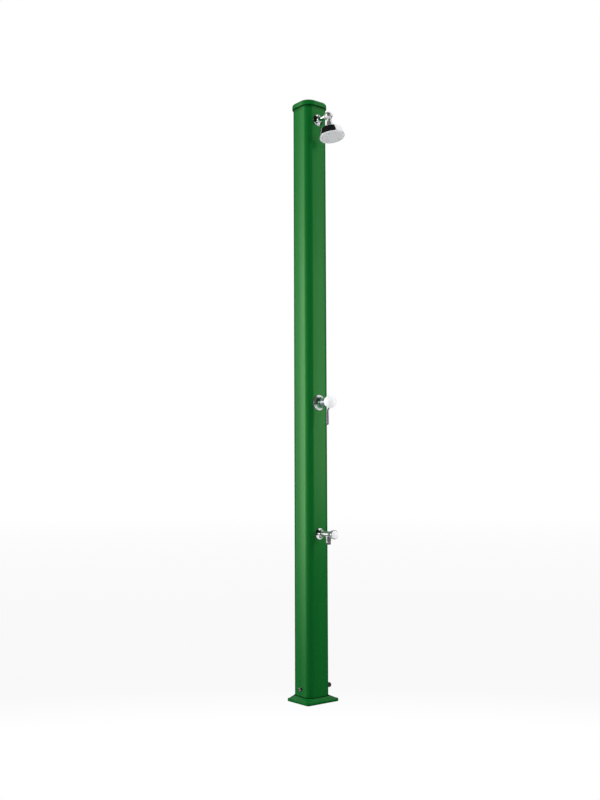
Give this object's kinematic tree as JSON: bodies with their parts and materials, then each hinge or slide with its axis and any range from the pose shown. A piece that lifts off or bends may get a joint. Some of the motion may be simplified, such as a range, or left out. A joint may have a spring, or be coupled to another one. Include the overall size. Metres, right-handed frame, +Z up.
{
  "type": "garden shower column",
  "caption": "Tall rounded-square shower column on a low rectangular foot, with a tilting shower head, a lever mixer, a push-button foot tap and a hose inlet.",
  "frame": {"origin": "on the column's axis at the underside of the foot, in the middle of the four ground bolts", "axes": "+Z up along the column, -Y towards the side that carries the shower head, mixer and foot tap, +X towards the hose inlet"},
  "size_m": [0.1595, 0.2324, 2.2],
  "materials": {
    "green_paint": "gloss powder coat",
    "steel": "stainless",
    "black_rubber": "matt",
    "black_plastic": "moulded, satin",
    "red_rubber": "matt",
    "hose": "satin",
    "blue_pipe": "extruded",
    "red_pipe": "extruded",
    "white_pipe": "extruded",
    "brass": "machined",
    "chrome": "polished",
    "white_cap": "polished, white",
    "grey_plastic": "satin",
    "nozzle_rubber": "silicone",
    "ceramic": "lapped ceramic"
  },
  "bodies": {
    "column_body": {"foot": "green_paint", "foot_bolts": "steel", "foot_washers": "steel", "foot_nuts": "steel", "column": "green_paint", "column_cap": "green_paint", "cap_gasket": "black_rubber", "top_plug": "black_plastic", "top_seal": "black_rubber", "bottom_plug": "black_plastic", "bottom_seal": "black_rubber", "fill_valve": "red_rubber", "inlet_nipple": "black_plastic", "inlet_oring": "black_rubber", "inlet_washer": "black_rubber", "inlet_nut": "black_plastic", "inlet_elbow": "black_plastic", "inlet_hose": "hose", "cold_pipe_lower": "blue_pipe", "cold_pipe_upper": "blue_pipe", "hot_pipe": "red_pipe", "riser_pipe": "white_pipe", "pipe_clips": "black_plastic", "arm_elbow": "brass", "arm_gasket": "black_rubber", "arm_locknut": "brass", "shower_flange": "chrome", "shower_arm": "chrome", "mixer_body": "chrome", "mixer_gasket": "black_rubber", "mixer_locknut": "brass", "mixer_flange": "chrome", "mixer_cartridge": "grey_plastic", "fixed_disc": "ceramic", "cartridge_nut": "chrome", "tap_tee": "brass", "tap_gasket": "black_rubber", "tap_flange": "chrome", "tap_body": "chrome", "tap_gland": "brass", "tap_spring": "steel", "spout_insert": "black_plastic"},
    "knuckle": {"knuckle_housing": "chrome", "knuckle_caps": "chrome"},
    "head": {"knuckle_barrel": "chrome", "barrel_orings": "black_rubber", "head_nut": "chrome", "inlet_filter": "steel", "head_shell": "chrome", "head_seal": "black_rubber", "nozzle_mat": "nozzle_rubber", "spray_plate": "grey_plastic"},
    "turret": {"moving_disc": "ceramic", "mixer_turret": "grey_plastic", "turret_pin": "steel"},
    "handle": {"lever_stem": "brass", "mixer_handle": "white_cap", "mixer_lever": "chrome"},
    "button": {"tap_piston": "brass", "tap_button": "white_cap"}
  },
  "joints": [
    {"name": "knuckle_swivel", "type": "hinge", "parent": "column_body", "child": "knuckle", "pos_m": [0, -0.111, 2.1245], "axis": [0, -1, 0], "range_deg": [-25, 25]},
    {"name": "head_tilt", "type": "hinge", "parent": "knuckle", "child": "head", "pos_m": [0, -0.111, 2.1245], "axis": [-1, 0, 0], "range_deg": [-15, 25]},
    {"name": "mixer_temperature", "type": "hinge", "parent": "column_body", "child": "turret", "pos_m": [0, -0.094, 1.07], "axis": [0, -1, 0], "range_deg": [-45, 45]},
    {"name": "mixer_lift", "type": "hinge", "parent": "turret", "child": "handle", "pos_m": [0, -0.094, 1.07], "axis": [-1, 0, 0], "range_deg": [0, 25]},
    {"name": "button_push", "type": "slide", "parent": "column_body", "child": "button", "axis": [0, 1, 0], "range_m": [0, 0.007], "stiffness_N_per_m": 400, "springref_m": -0.004, "deforming": ["tap_spring"]}
  ]
}
